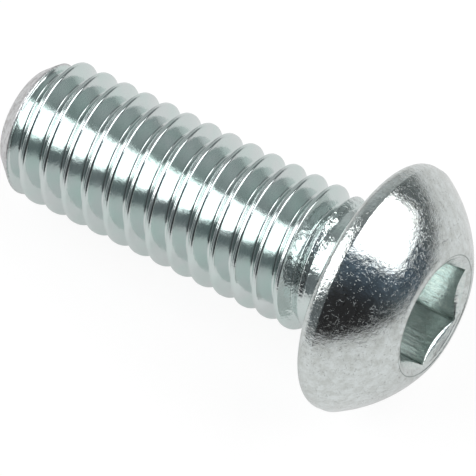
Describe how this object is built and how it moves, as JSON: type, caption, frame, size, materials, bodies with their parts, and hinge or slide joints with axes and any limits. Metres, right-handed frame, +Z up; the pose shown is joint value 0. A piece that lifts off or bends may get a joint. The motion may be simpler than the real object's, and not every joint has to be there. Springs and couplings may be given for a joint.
{
  "type": "button head screw",
  "caption": "Low domed button head screw with a hexagon socket, a chamfered tip and a right-hand coarse thread up to a short neck, lying on its side.",
  "frame": {"origin": "on the surface that the screw lies on, below the middle of its length", "axes": "+X along the screw seen from above, from the tip towards the head; +Z up; the screw's own axis rises about 8.2 degrees from +X towards the head, because the head's rim and the last full crest at the tip both rest on the surface"},
  "size_m": [0.0196, 0.0104, 0.0103],
  "materials": {
    "zinc_plated_steel": "bright zinc plate with a clear, slightly blue-green passivation"
  },
  "bodies": {
    "root": {"button_head_screw": "zinc_plated_steel"}
  },
  "joints": []
}
